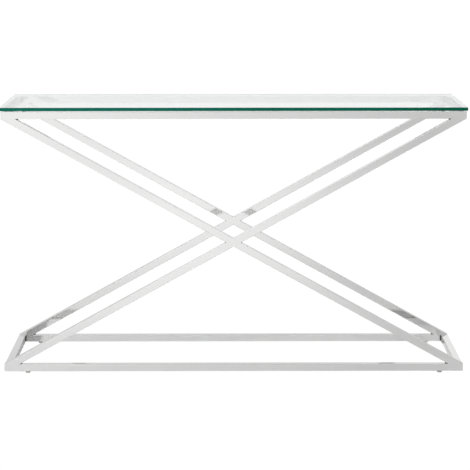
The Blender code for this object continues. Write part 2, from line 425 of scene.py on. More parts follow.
@dataclass(frozen=True)
class GlassEdge(PieceFinish):
    """The sawn edge of the float glass, ground flat and polished.

    Light in it has run the length of the pane, where the iron in clear glass takes the red out of it, so it
    gives the eye a deep blue-green that darkens in places, under a thin gloss. Painted shade darkens it
    slowly from left to right along the pane.
    """

    colour: str = "#006B58"
    # The darker green: random patches reach it, and painted shade reaches it towards the right
    second: str = "#005740"
    smooth: float = 0.12
    rough: float = 0.30
    thick: str = "#00261C"
    ior: float = 1.52
    specular: float = 0.04
    patch_mm: float = 90.0
    patch_share: float = 0.5
    grind_mm: float = 0.6
    grind_length_mm: float = 24.0
    grind_depth: float = 0.000004
    # Where along the table painted shade turns the tone from the first colour to the darker second, towards
    # the right
    drift_x: tuple[float, float] = (-0.5, 0.75)
    # The values of painted shade and patches together at which it is all the first colour and all the second
    tone_span: tuple[float, float] = (0.2, 1.3)
    # How far out the ends of the pane begin, where the eye looks along its whole length
    end_x: tuple[float, float] = (0.6965, 0.6995)

    def shade(self, tree: bpy.types.NodeTree) -> bpy.types.Node:
        """Draws the tone as painted shade that darkens slowly towards the right along the pane, with soft
        patches in it, and the grinder's lines.

        Args:
            tree: the node tree that it is drawn in.

        Returns:
            The shader node.
        """
        own = add_node(tree, "ShaderNodeTexCoord").outputs["Object"]
        along = add_node(tree, "ShaderNodeSeparateXYZ", {0: own}).outputs["X"]
        out = add_node(tree, "ShaderNodeMath", {0: along}, operation="ABSOLUTE").outputs[0]
        spans = ((along, self.drift_x), (out, self.end_x))
        limits = [{"Value": value, "From Min": low, "From Max": high} for value, (low, high) in spans]
        # The painted shade: 0 at the left, rising towards the right, where the tone darkens
        shade_drift, ends = (add_node(tree, "ShaderNodeMapRange", inputs).outputs[0] for inputs in limits)
        patches = {0: self.lumps(tree, 2.0, self.patch_mm), 1: self.patch_share, 2: shade_drift}
        patched = add_node(tree, "ShaderNodeMath", patches, operation="MULTIPLY_ADD").outputs[0]
        inputs = {"Value": patched, "From Min": self.tone_span[0], "From Max": self.tone_span[1]}
        tone = add_node(tree, "ShaderNodeMapRange", inputs).outputs[0]
        grind = self.lumps(tree, 3.0, self.grind_length_mm, self.grind_mm)
        constants = {"IOR": self.ior, "Specular IOR Level": self.specular}
        shader = self.surface(tree, tone, grind, ((grind, self.grind_depth),), constants)
        colours = {
            MIX_FACTOR: ends,
            MIX_A: shader.inputs["Base Color"].links[0].from_socket,
            MIX_B: linear(self.thick),
        }
        ended = add_node(tree, "ShaderNodeMix", colours, data_type="RGBA")
        tree.links.new(ended.outputs[MIX_RESULT], shader.inputs["Base Color"])
        return shader


@dataclass(frozen=True)
class ClearPolyurethane(PieceFinish):
    """Cast polyurethane, soft and clear, domed by its own surface tension.

    It gives the eye a smoky grey drop between glass and steel, darker than either, that bends the view
    through it.
    """

    colour: str = "#A9B2B0"
    second: str = "#98A19F"
    smooth: float = 0.10
    rough: float = 0.30
    ior: float = 1.49
    transmission: float = 0.6
    dust_mm: float = 1.2

    def shade(self, tree: bpy.types.NodeTree) -> bpy.types.Node:
        """Draws the film of dust that a soft plastic holds.

        Args:
            tree: the node tree that it is drawn in.

        Returns:
            The shader node.
        """
        dust = self.lumps(tree, 4.0, self.dust_mm)
        constants = {"IOR": self.ior, "Transmission Weight": self.transmission}
        return self.surface(tree, dust, dust, (), constants)


@dataclass(frozen=True)
class NickelPlate(PieceFinish):
    """Turned steel, bright nickel plated.

    It gives the eye a pale grey shine crossed by the fine rings of the lathe.
    """

    colour: str = "#C9C8C5"
    second: str = "#B9B8B5"
    smooth: float = 0.16
    rough: float = 0.32
    # Lathe marks: really about 0.1 mm apart, drawn coarser so that they show
    feed_mm: float = 0.35
    feed_length_mm: float = 28.0
    feed_depth: float = 0.000006
    wear_mm: float = 2.5

    def shade(self, tree: bpy.types.NodeTree) -> bpy.types.Node:
        """Draws the lathe's rings across the profile and the wear in patches.

        Args:
            tree: the node tree that it is drawn in.

        Returns:
            The shader node.
        """
        rings = self.lumps(tree, 2.0, self.feed_length_mm, self.feed_mm)
        wear = self.lumps(tree, 4.0, self.wear_mm)
        return self.surface(tree, wear, wear, ((rings, self.feed_depth),), {"Metallic": 1.0})


@dataclass(frozen=True)
class ZincPlate(PieceFinish):
    """Cold-formed steel, zinc plated and clear passivated.

    It gives the eye a cool matt grey with a crystalline mottle.
    """

    colour: str = "#A6ABB0"
    second: str = "#8E949A"
    smooth: float = 0.34
    rough: float = 0.55
    crystal_mm: float = 0.8

    def shade(self, tree: bpy.types.NodeTree) -> bpy.types.Node:
        """Draws the mottle as cells the size of the zinc's crystals.

        Args:
            tree: the node tree that it is drawn in.

        Returns:
            The shader node.
        """
        inputs = {"Vector": self.place(tree, self.crystal_mm), "Scale": 1.0}
        cells = add_node(tree, "ShaderNodeTexVoronoi", inputs).outputs["Color"]
        mottle = add_node(tree, "ShaderNodeSeparateColor", {0: cells}).outputs[0]
        return self.surface(tree, mottle, mottle, (), {"Metallic": 1.0})


@dataclass(frozen=True)
class MouldedNylon(PieceFinish):
    """Natural nylon, injection moulded in a spark-eroded tool.

    It gives the eye a milky off-white with a fine matt grain.
    """

    colour: str = "#DAD7CE"
    second: str = "#C9C5BB"
    smooth: float = 0.42
    rough: float = 0.60
    ior: float = 1.53
    scuff_mm: float = 3.0
    grain_mm: float = 0.25
    grain_depth: float = 0.000015

    def shade(self, tree: bpy.types.NodeTree) -> bpy.types.Node:
        """Draws the scuffs of the floor and the tool's grain.

        Args:
            tree: the node tree that it is drawn in.

        Returns:
            The shader node.
        """
        scuffs = self.lumps(tree, 4.0, self.scuff_mm)
        grain = self.lumps(tree, 2.0, self.grain_mm)
        return self.surface(tree, scuffs, scuffs, ((grain, self.grain_depth),), {"IOR": self.ior})


@dataclass(frozen=True)
class LitSweep(Finish):
    """The studio floor: white acrylic lit from below, with a pool of light in front of the table.

    The steel mirrors it, so its slow fall from left to right and with distance is what shades the frame.
    """

    colour: str = "#DEDEDE"
    roughness: float = 0.9
    # The glow at distances in metres in front of the table, negative behind it
    glow: Curve = (
        (-8.0, 0.15),
        (-3.0, 0.30),
        (-1.0, 0.22),
        (-0.3, 0.0),
        (0.3, 0.09),
        (1.0, 0.22),
        (2.1, 0.39),
        (3.2, 0.41),
        (4.5, 0.31),
        (6.3, 0.23),
        (8.0, 0.26),
    )
    # How the glow falls from left to right: evenly over the pool, and back again outside it
    lean: Curve = ((-2.4, -0.1), (-1.5, 0.0), (-0.62, 0.62), (0.62, -0.62), (1.5, -0.3), (2.4, -0.1))
    # How strong that fall is at distances in front of the table
    tilt: Curve = ((-0.3, 0.20), (0.3, 0.20), (1.3, 0.33), (8.0, 0.34))
    # How far in front and behind the curves reach
    reach: float = 10.0
    # How fast the pool widens with distance
    spread: float = 0.17
    # The white that the eye itself sees
    seen: float = 1.02

    def shade(self, tree: bpy.types.NodeTree) -> bpy.types.Node:
        """Draws the glow: a curve over the distance in front, plus tilt lean(x / (1 + spread distance)).

        The eye itself sees plain white: only what mirrors the floor, or what it lights, finds the glow.

        Args:
            tree: the node tree that it is drawn in.

        Returns:
            The shader node.
        """
        own = add_node(tree, "ShaderNodeTexCoord").outputs["Object"]
        places = add_node(tree, "ShaderNodeSeparateXYZ", {0: own})
        reach = {"Value": places.outputs["Y"], "From Min": self.reach, "From Max": -self.reach}
        ahead = add_node(tree, "ShaderNodeMapRange", reach).outputs[0]
        pool, tilt = (
            ramp(tree, ahead, [((distance / self.reach + 1) / 2, value) for distance, value in curve])
            for curve in (self.glow, self.tilt)
        )
        widening = {0: places.outputs["Y"], 1: -self.spread, 2: 1.0}
        stretch = add_node(tree, "ShaderNodeMath", widening, operation="MULTIPLY_ADD").outputs[0]
        width = add_node(tree, "ShaderNodeMath", {0: stretch, 1: 1.0}, operation="MAXIMUM").outputs[0]
        share = add_node(tree, "ShaderNodeMath", {0: places.outputs["X"], 1: width}, operation="DIVIDE")
        edge = self.lean[-1][0]
        sides = {"Value": share.outputs[0], "From Min": -edge, "From Max": edge}
        across = add_node(tree, "ShaderNodeMapRange", sides).outputs[0]
        # The curve is raised by 1 while it is drawn, because a ramp holds no negative values.
        stops = [((side / edge + 1) / 2, value + 1) for side, value in self.lean]
        raised = ramp(tree, across, stops, "LINEAR")
        lean = add_node(tree, "ShaderNodeMath", {0: raised, 1: 1.0}, operation="SUBTRACT").outputs[0]
        leaning = add_node(tree, "ShaderNodeMath", {0: lean, 1: tilt, 2: pool}, operation="MULTIPLY_ADD")
        glow = add_node(tree, "ShaderNodeMath", {0: leaning.outputs[0], 1: 0.0}, operation="MAXIMUM")
        lit = add_node(
            tree,
            "ShaderNodeBsdfPrincipled",
            {
                "Base Color": linear(self.colour),
                "Roughness": self.roughness,
                "Specular IOR Level": 0.0,
                "Emission Color": linear(WHITE),
                "Emission Strength": glow.outputs[0],
            },
        )
        plain = add_node(tree, "ShaderNodeEmission", {"Color": linear(WHITE), "Strength": self.seen})
        shaders = {0: looked_at(tree), 1: lit.outputs[0], 2: plain.outputs[0]}
        return add_node(tree, "ShaderNodeMixShader", shaders)


# --------------------------------------------------------------------------------------------------
# Shapes: whole arrays of points, in metres
# --------------------------------------------------------------------------------------------------


def rounded_rectangle(width: float, height: float, radius: float, steps: int, hold: float) -> np.ndarray:
    """The outline of a rectangle with round corners, counter-clockwise.

    Each corner is a quarter circle, centre + radius (cos a, sin a). Beside it, one point lies on each
    straight, so that smooth shading bends only close to the corner and the straights stay flat.

    Args:
        width: the size along the first axis.
        height: the size along the second axis.
        radius: the radius of the corners.
        steps: how many steps a quarter circle has.
        hold: how far the extra points lie from the corner's arc.

    Returns:
        The points, one a row.
    """
    first = np.arange(4) * np.pi / 2
    angles = first[:, None] + np.linspace(0, np.pi / 2, steps + 1)[None, :]
    arcs = radius * np.stack([np.cos(angles), np.sin(angles)], axis=-1)
    before = arcs[:, :1] + hold * np.stack([np.sin(first), -np.cos(first)], axis=-1)[:, None]
    after = arcs[:, -1:] - hold * np.stack([np.cos(first), np.sin(first)], axis=-1)[:, None]
    centres = np.array([(1, 1), (-1, 1), (-1, -1), (1, -1)]) * (width / 2 - radius, height / 2 - radius)
    return (np.concatenate([before, arcs, after], axis=1) + centres[:, None]).reshape(-1, 2)


def arc(centre: tuple[float, float], radius: float, start: float, end: float, steps: int = 5) -> np.ndarray:
    """Points on an arc: centre + radius (cos a, sin a).

    Args:
        centre: its centre.
        radius: its radius.
        start: the first point's angle in degrees.
        end: the last point's angle in degrees.
        steps: how many points it has.

    Returns:
        The points, one a row.
    """
    angles = np.radians(np.linspace(start, end, steps))
    return np.array(centre) + radius * np.stack([np.cos(angles), np.sin(angles)], axis=-1)


def turned(profile: np.ndarray, x: float, y: float, steps: int = 64) -> np.ndarray:
    """Rings of a turned shape: a profile point (radius, height) makes the circle radius (cos a, sin a) there.

    Args:
        profile: the (radius, height) points, one a row.
        x: the axis's X.
        y: the axis's Y.
        steps: how many points a ring has.

    Returns:
        The rings, as rows by points by 3.
    """
    angles = np.arange(steps) * 2 * np.pi / steps
    radii = np.broadcast_to(profile[:, :1], (len(profile), steps))
    return wrapped(radii, profile[:, 1], angles, x, y)


def wrapped(radii: np.ndarray, heights: np.ndarray, angles: np.ndarray, x: float, y: float) -> np.ndarray:
    """Rings whose radius changes round them: (x + r cos a, y + r sin a, z).

    Args:
        radii: the radius at each height and angle.
        heights: the rings' heights.
        angles: the points' angles.
        x: the axis's X.
        y: the axis's Y.

    Returns:
        The rings, as rows by points by 3.
    """
    high = np.broadcast_to(heights[:, None], radii.shape)
    return np.stack([x + radii * np.cos(angles), y + radii * np.sin(angles), high], axis=-1)


@dataclass(frozen=True)
class Plane:
    """A plane that cuts a tube: a point on it and its normal."""

    point: np.ndarray
    normal: np.ndarray


def carried(
    profile: np.ndarray,
    origin: np.ndarray,
    along: np.ndarray,
    across: np.ndarray,
    cuts: tuple[Plane, Plane],
    shares: np.ndarray,
) -> tuple[np.ndarray, np.ndarray]:
    """Rings of a profile carried along a straight line between two planes.

    Profile point (a, b) rides on the line origin + a across + b upright + s along, where upright is
    along x across. It meets a plane at s = (point - line) . normal / (along . normal), and the rings lie at
    shares of the way from the first plane to the second, so the planes may cut the ends at any angle.

    Args:
        profile: the (a, b) points, one a row.
        origin: a point on the line.
        along: the line's direction, of length 1.
        across: the profile's first axis, of length 1.
        cuts: the planes that the first and the last ring lie in.
        shares: the rings' shares of the way, from 0 to 1.

    Returns:
        The rings, as rows by points by 3, and each point's distance s, as rows by points.
    """
    lines = origin + profile[:, :1] * across + profile[:, 1:] * np.cross(along, across)
    first, last = (((cut.point - lines) @ cut.normal) / (along @ cut.normal) for cut in cuts)
    runs = first + (last - first) * shares[:, None]
    return lines + runs[..., None] * along, runs


@dataclass(frozen=True)
class Skin:
    """A closed surface: rings of points, each ring closed, and how the first and last ring end."""

    rings: np.ndarray
    ends: Ends
    # Where each point lies, (metres round, metres along), with one more column than the rings for the seam
    places: Optional[np.ndarray] = None

    def lay(self) -> np.ndarray:
        """Measures the points' places on the skin, round its widest ring and along the way between rings.

        Returns:
            The places, (metres round, metres along), with one more column than the rings for the seam.
        """
        if self.places is not None:
            return self.places
        closed = np.concatenate([self.rings, self.rings[:, :1]], axis=1)
        round_steps = np.linalg.norm(np.diff(closed, axis=1), axis=-1)
        widest = round_steps[round_steps.sum(axis=1).argmax()]
        along_steps = np.linalg.norm(np.diff(self.rings, axis=0), axis=-1).mean(axis=1)
        turn, run = (np.concatenate([[0], np.cumsum(steps)]) for steps in (widest, along_steps))
        return np.stack(np.broadcast_arrays(turn[None, :], run[:, None]), axis=-1)

    def quads(self) -> tuple[np.ndarray, np.ndarray]:
        """The quads between neighbouring rings.

        Returns:
            Each quad's four points, and the place on the skin of each of its corners.
        """
        rows, columns = self.rings.shape[:2]
        spans = rows if self.ends is Ends.JOINED else rows - 1
        i, j = (index.ravel() for index in np.meshgrid(np.arange(spans), np.arange(columns), indexing="ij"))
        below = (i + 1) % rows
        beside = (j + 1) % columns
        starts, ends = i * columns, below * columns
        points = np.stack([starts + j, starts + beside, ends + beside, ends + j], axis=1)
        lay = self.lay()
        corners = np.stack([lay[i, j], lay[i, j + 1], lay[below, j + 1], lay[below, j]], axis=1)
        return points, corners

    def caps(self) -> list[tuple[np.ndarray, np.ndarray]]:
        """Closes the first and the last ring with flat caps, if they are capped.

        Returns:
            For each cap, its points and their places about its middle.
        """
        if self.ends is Ends.JOINED:
            return []
        rows, columns = self.rings.shape[:2]
        turns = (np.arange(columns)[::-1], (rows - 1) * columns + np.arange(columns))
        outlines = [self.rings.reshape(-1, 3)[turn] for turn in turns]
        return [(turn, (line - line.mean(axis=0)) @ CAP_VIEW) for turn, line in zip(turns, outlines)]

    def faces(self) -> tuple[list[list[int]], np.ndarray]:
        """All faces, turned to point outwards.

        The surface's volume, the sum of p . (q x r) / 6 over its triangles, is negative if they point
        inwards, and then each face is turned round.

        Returns:
            The faces' points, and the places of their corners in the same order.
        """
        points, corners = self.quads()
        caps = self.caps()
        flat = self.rings.reshape(-1, 3)
        fans = [np.stack([np.full(len(cap) - 2, cap[0]), cap[1:-1], cap[2:]], axis=1) for cap, _ in caps]
        triangles = np.concatenate([points[:, [0, 1, 2]], points[:, [0, 2, 3]], *fans])
        volume = np.linalg.det(flat[triangles]).sum() / 6
        turn = slice(None) if volume > 0 else slice(None, None, -1)
        faces = points[:, turn].tolist() + [cap[turn].tolist() for cap, _ in caps]
        return faces, np.concatenate([corners[:, turn].reshape(-1, 2), *(lay[turn] for _, lay in caps)])


def make_piece(name: str, skins: Sequence[Skin]) -> bpy.types.Object:
    """Puts skins into one object at the origin, smooth shaded with its sharp edges kept.

    Args:
        name: the piece's name.
        skins: the closed surfaces that it is made of.

    Returns:
        The object.
    """
    points, faces, corners, first = [], [], [], 0
    for skin in skins:
        skin_faces, skin_corners = skin.faces()
        faces += [[first + point for point in face] for face in skin_faces]
        corners.append(skin_corners)
        points.append(skin.rings.reshape(-1, 3))
        first += len(points[-1])
    mesh = bpy.data.meshes.new(name)
    mesh.from_pydata(np.concatenate(points), [], faces)
    mesh.uv_layers.new(name=LAY).data.foreach_set("uv", np.concatenate(corners).astype(np.float32).ravel())
    mesh.shade_smooth()
    mesh.set_sharp_from_angle(angle=SHARP_ANGLE)
    piece = bpy.data.objects.new(name, mesh)
    bpy.context.scene.collection.objects.link(piece)
    return piece


def bore(piece: bpy.types.Object, holes: Sequence[Skin]) -> None:
    """Cuts holes in a piece and keeps the result as its mesh.

    Args:
        piece: the piece to cut.
        holes: closed skins, each the shape of one hole.
    """
    cutter = make_piece(f"{piece.name}_holes", holes)
    modifier = piece.modifiers.new("holes", "BOOLEAN")
    modifier.object = cutter
    modifier.operation = "DIFFERENCE"
    modifier.solver = "EXACT"
    cut = bpy.data.meshes.new_from_object(piece.evaluated_get(bpy.context.evaluated_depsgraph_get()))
    cut.set_sharp_from_angle(angle=SHARP_ANGLE)
    piece.modifiers.clear()
    piece.data = cut
    bpy.data.objects.remove(cutter)


def mount(
    piece: bpy.types.Object, body: str, material: bpy.types.Material, node: str = ""
) -> bpy.types.Object:
    """Dresses a piece and puts it on its body.

    Args:
        piece: the piece.
        body: the CAD body that it moves with.
        material: its first material.
        node: the CAD node that it stands for, if it stands for one.

    Returns:
        The piece.
    """
    piece.data.materials.clear()
    piece.data.materials.append(material)
    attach(piece, body)
    if node:
        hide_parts(node)
    return piece


# --------------------------------------------------------------------------------------------------
# The table
# --------------------------------------------------------------------------------------------------


@dataclass(frozen=True)
class TableSizes:
    """The sizes that the sub-assemblies share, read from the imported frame."""

    tube: float
    length: float
    depth: float
    base_low: float
    top_high: float

    @classmethod
    def from_frame(cls) -> "TableSizes":
        """Reads the sizes from the boxes of the rails.

        Returns:
            The sizes.
        """
        low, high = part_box("base_rail_front")
        return cls(
            tube=high.z - low.z,
            length=2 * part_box("base_rail_right")[1].x,
            depth=-2 * low.y,
            base_low=low.z,
            top_high=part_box("top_rail_front")[1].z,
        )

    @property
    def base_high(self) -> float:
        """The height of the base rails' top."""
        return self.base_low + self.tube

    @property
    def top_low(self) -> float:
        """The height of the top rails' underside."""
        return self.top_high - self.tube

    @property
    def angle(self) -> float:
        """The diagonals' angle to the floor, in radians.

        The upper edge leaves the base rail's end and the lower edge reaches the top rail's other end, so it
        is atan(height / length) + asin(tube / their hypotenuse).
        """
        height = self.top_low - self.base_high
        return math.atan2(height, self.length) + math.asin(self.tube / math.hypot(self.length, height))

    def cross_middle(self, face: Face) -> np.ndarray:
        """The point where the centre lines of a face's diagonals meet."""
        return np.array([0, face.value * (self.depth - self.tube) / 2, (self.base_high + self.top_low) / 2])

    @property
    def rise(self) -> np.ndarray:
        """The direction of the diagonal that rises to the right."""
        return np.array([math.cos(self.angle), 0, math.sin(self.angle)])

    @property
    def fall(self) -> np.ndarray:
        """The direction of the diagonal that falls to the right."""
        return self.rise * (1, 1, -1)

    @property
    def over(self) -> np.ndarray:
        """The normal of the rising diagonal's upper face."""
        return np.array([-math.sin(self.angle), 0, math.cos(self.angle)])


@dataclass(frozen=True)
class Bar:
    """One straight length of tube: a point on its centre line, its direction and the cuts of its ends."""

    name: str
    origin: np.ndarray
    along: np.ndarray
    across: np.ndarray
    cuts: tuple[Plane, Plane]


@dataclass
class TubeFrame:
    """The welded frame: two mitred rectangles and the crosses between them."""

    sizes: TableSizes
    finish: PolishedStainless = PolishedStainless()
    wall: float = 0.0015
    corner_radius: float = 0.0015
    bore_radius: float = 0.0004
    corner_steps: int = 6
    hold: float = 0.0002
    rings: int = 24
    # Half the width of the line that polishing leaves at a weld
    seam: float = 0.00002
    screw_hole_radius: float = 0.0045
    hole_steps: int = 48

    def build(self) -> list[bpy.types.Object]:
        """Builds and dresses every tube.

        Returns:
            The pieces.
        """
        bars = [*self.rails(), *self.diagonals(Face.FRONT), *self.diagonals(Face.BACK)]
        return [self.make_tube(bar) for bar in bars]

    def mitre(self, corner: Corner, z: float, inward: float) -> Plane:
        """Places a corner's mitre, half a seam to one side of the corner's own diagonal.

        Args:
            corner: the corner.
            z: the height of the rails' centre lines.
            inward: 1 for the side of greater X of the diagonal, and -1 for the other.

        Returns:
            The plane of the cut.
        """
        sign = np.array([*corner.value, 0.0])
        normal = np.array([sign[1], -sign[0], 0.0]) / math.sqrt(2)
        outer = sign * (self.sizes.length / 2, self.sizes.depth / 2, 0) + z * Z_AXIS
        return Plane(outer + inward * self.seam * normal * np.sign(normal[0]), normal)

    def rails(self) -> list[Bar]:
        """Places the rails: two along and two across at each height, mitred at 45 degrees where they meet.

        Returns:
            The eight rails.
        """
        sizes, made = self.sizes, []
        middles = {"base": sizes.base_low + sizes.tube / 2, "top": sizes.top_high - sizes.tube / 2}
        for level, z in middles.items():
            for face in Face:
                left, right = (corner for corner in Corner if corner.value[1] == face.value)
                cuts = (self.mitre(left, z, 1), self.mitre(right, z, -1))
                origin = np.array([0, face.value * (sizes.depth - sizes.tube) / 2, z])
                made.append(Bar(f"{level}_rail_{face.label}", origin, X_AXIS, Y_AXIS, cuts))
            for label, sign in (("left", -1), ("right", 1)):
                near, far = (corner for corner in Corner if corner.value[0] == sign)
                cuts = (self.mitre(near, z, sign), self.mitre(far, z, sign))
                origin = np.array([sign * (sizes.length - sizes.tube) / 2, 0, z])
                made.append(Bar(f"{level}_rail_{label}", origin, Y_AXIS, -X_AXIS, cuts))
        return made

    def diagonals(self, face: Face) -> list[Bar]:
        """Places one diagonal in a single length and the other in two halves that butt against it.

        Args:
            face: the cross that they make.

        Returns:
            The three lengths.
        """
        sizes = self.sizes
        middle = sizes.cross_middle(face)
        floor = Plane((sizes.base_high + self.seam) * Z_AXIS, Z_AXIS)
        ceiling = Plane((sizes.top_low - self.seam) * Z_AXIS, Z_AXIS)
        reach = sizes.tube / 2 + self.seam
        upper = Plane(middle + reach * sizes.over, sizes.over)
        lower = Plane(middle - reach * sizes.over, sizes.over)
        return [
            Bar(f"{face.label}_diagonal_long", middle, sizes.rise, Y_AXIS, (floor, ceiling)),
            Bar(f"{face.label}_diagonal_upper_half", middle, -sizes.fall, Y_AXIS, (upper, ceiling)),
            Bar(f"{face.label}_diagonal_lower_half", middle, sizes.fall, Y_AXIS, (lower, floor)),
        ]

    def make_tube(self, bar: Bar) -> bpy.types.Object:
        """Makes one tube: its outside from end to end, then its bore back again, joined at both ends.

        Args:
            bar: where it lies and how its ends are cut.

        Returns:
            The piece, mounted in place of its CAD node.
        """
        outside, inside = self.sizes.tube, self.sizes.tube - 2 * self.wall
        outer = rounded_rectangle(outside, outside, self.corner_radius, self.corner_steps, self.hold)
        inner = rounded_rectangle(inside, inside, self.bore_radius, self.corner_steps, self.hold)
        line = (bar.origin, bar.along, bar.across, bar.cuts)
        out_rings, out_runs = carried(outer, *line, np.linspace(0, 1, self.rings))
        in_rings, in_runs = carried(inner, *line, np.array([1.0, 0.0]))
        runs = np.concatenate([out_runs, in_runs])
        runs = np.concatenate([runs, runs[:, :1]], axis=1)
        steps = np.linalg.norm(np.diff(np.concatenate([outer, outer[:1]]), axis=0), axis=1)
        turn = np.concatenate([[0], np.cumsum(steps)])
        places = np.stack(np.broadcast_arrays(turn[None, :], runs), axis=-1)
        piece = make_piece(bar.name, [Skin(np.concatenate([out_rings, in_rings]), Ends.JOINED, places)])
        holes = self.screw_holes(bar.name)
        if holes:
            bore(piece, holes)
        steel = self.finish.material(f"polished_stainless_{bar.name}")
        return mount(piece, "root", steel, bar.name)

    def screw_holes(self, name: str) -> list[Skin]:
        """Makes the holes that a base rail has in its underside for the feet's screws.

        Args:
            name: the rail's name.

        Returns:
            The shapes to cut out of it, none for most tubes.
        """
        made = []
        for corner in Corner:
            face = corner.label.split("_")[0]
            if name != f"base_rail_{face}":
                continue
            x, y = centre_of(f"foot_pad_{corner.label}")
            ends = self.sizes.base_low + np.array([-self.wall, 2 * self.wall])
            profile = np.stack([np.full(2, self.screw_hole_radius), ends], axis=1)
            made.append(Skin(turned(profile, x, y, self.hole_steps), Ends.CAPPED))
        return made


def centre_of(node: str) -> tuple[float, float]:
    """The X and Y of the middle of a CAD node's box."""
    low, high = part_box(node)
    return (low.x + high.x) / 2, (low.y + high.y) / 2


@dataclass(frozen=True)
class Bead:
    """A weld bead in an inner corner: its ends, and the ways of the two faces away from the corner."""

    start: np.ndarray
    end: np.ndarray
    first: np.ndarray
    second: np.ndarray
    width: float


@dataclass
class Welds:
    """What the welder left: flush ground fills in the faces, and unground beads in the inner corners."""

    sizes: TableSizes
    ground: PolishedStainless = PolishedStainless()
    # The beads' finish: the weld's own tone together with painted shade for the inner corners
    raw: TigWeld = TigWeld()
    corner_radius: float = 0.0015
    bead_width: float = 0.0026
    notch_width: float = 0.0022
    toe_width: float = 0.0060
    bulge: float = 0.20
    ripple: float = 0.05
    ripple_pitch: float = 0.0011
    ripple_steps: int = 6
    # How far a bead reaches behind its corner, as a share of its width
    root_depth: float = 0.3
    section_steps: int = 8
    # How far a fill's ends stay clear of the tube's round edges
    fill_inset: float = 0.0008

    def build(self) -> list[bpy.types.Object]:
        """Builds and dresses the fills and the beads.

        Returns:
            The pieces.
        """
        made = []
        for face in Face:
            fills = [self.fill(*line) for line in self.fill_lines(face)]
            piece = make_piece(f"{face.label}_cross_ground_welds", fills)
            steel = self.ground.material(f"ground_weld_{face.label}_cross")
            made.append(mount(piece, "root", steel))
            beads = [self.bead(bead) for bead in self.cross_beads(face)]
            piece = make_piece(f"{face.label}_cross_weld_beads", beads)
            steel = self.raw.material(f"tig_weld_{face.label}_cross")
            made.append(mount(piece, "root", steel))
        for level, low in (("base", self.sizes.base_low), ("top", self.sizes.top_low)):
            beads = [self.bead(self.corner_bead(corner, low)) for corner in Corner]
            piece = make_piece(f"{level}_corner_weld_beads", beads)
            made.append(mount(piece, "root", self.raw.material(f"tig_weld_{level}_corners")))
        return made

    def fill_lines(self, face: Face) -> list[tuple[np.ndarray, np.ndarray, np.ndarray, np.ndarray]]:
        """Where two tubes meet in a flat face and one has a round edge along the joint.

        Args:
            face: the cross.

        Returns:
            For each joint, in the front and in the back of the tubes: the joint's ends, the way to the tube
            with the round edge and the way into the metal.
        """
        sizes = self.sizes
        middle = sizes.cross_middle(face)
        half = (sizes.top_low - sizes.base_high) / 2
        made = []
        for sign in (-1, 1):
            skin_y = middle * Y_AXIS + sign * sizes.tube / 2 * Y_AXIS
            inward = -sign * Y_AXIS
            reach = sizes.tube / 2 / math.sin(sizes.angle) - self.fill_inset
            for up in (-1, 1):
                height = (middle[2] + up * half) * Z_AXIS
                for side in (-1, 1):
                    foot = side * half / math.tan(sizes.angle) * X_AXIS + height + skin_y
                    made.append((foot - reach * X_AXIS, foot + reach * X_AXIS, up * Z_AXIS, inward))
            reach = sizes.tube / 2 / math.sin(2 * sizes.angle) - self.fill_inset
            for way in (-1, 1):
                butt = middle * Z_AXIS + skin_y + way * sizes.tube / 2 * sizes.over
                butt = butt - way * sizes.tube / 2 / math.tan(2 * sizes.angle) * sizes.rise
                ends = (butt - reach * sizes.rise, butt + reach * sizes.rise)
                made.append((*ends, -way * sizes.over, inward))
        return made

    def fill(self, start: np.ndarray, end: np.ndarray, edge: np.ndarray, inward: np.ndarray) -> Skin:
        """Shapes a prism along a joint, flush with both faces and filling the round edge beside it.

        Args:
            start: the joint's start.
            end: the joint's end.
            edge: the way to the tube with the round edge.
            inward: the way into the metal.

        Returns:
            The prism.
        """
        radius = self.corner_radius
        section = np.stack([radius * edge, 0 * edge, radius * inward])
        return Skin(np.stack([start + section, end + section]), Ends.CAPPED)

    def corner_bead(self, corner: Corner, low: float) -> Bead:
        """Places the upright bead in the inner corner of a rectangle of rails.

        Args:
            corner: the corner.
            low: the height of the rails' underside.

        Returns:
            The bead.
        """
        sizes = self.sizes
        sign = np.array([*corner.value, 0.0])
        foot = sign * (sizes.length / 2 - sizes.tube, sizes.depth / 2 - sizes.tube, 0)
        clear = self.corner_radius
        return Bead(
            foot + (low + clear) * Z_AXIS,
            foot + (low + sizes.tube - clear) * Z_AXIS,
            -sign * X_AXIS,
            -sign * Y_AXIS,
            self.bead_width,
        )

    def cross_beads(self, face: Face) -> list[Bead]:
        """Places the beads across the tubes, in the narrow corners at the crossing and the diagonals' ends.

        Args:
            face: the cross.

        Returns:
            The beads.
        """
        sizes = self.sizes
        middle = sizes.cross_middle(face)
        half = (sizes.top_low - sizes.base_high) / 2
        across = (sizes.tube / 2 - self.corner_radius) * Y_AXIS
        slope = math.tan(sizes.angle)
        lift = sizes.tube / 2 / math.cos(sizes.angle)
        made = []
        for side in (-1, 1):
            for up in (-1, 1):
                # The diagonal's inner face meets the rail nearer the middle than its centre line does.
                x = side * (half - lift) / slope
                toe = middle + x * X_AXIS + up * half * Z_AXIS
                back = np.array([-side * math.cos(sizes.angle), 0, -up * math.sin(sizes.angle)])
                made.append(Bead(toe - across, toe + across, -side * X_AXIS, back, self.toe_width))
            # The narrow corners of the crossing lie left and right of its middle.
            notch = middle + side * lift / slope * X_AXIS
            upper = np.array([side * math.cos(sizes.angle), 0, math.sin(sizes.angle)])
            made.append(Bead(notch - across, notch + across, upper, upper * (1, 1, -1), self.notch_width))
        return made

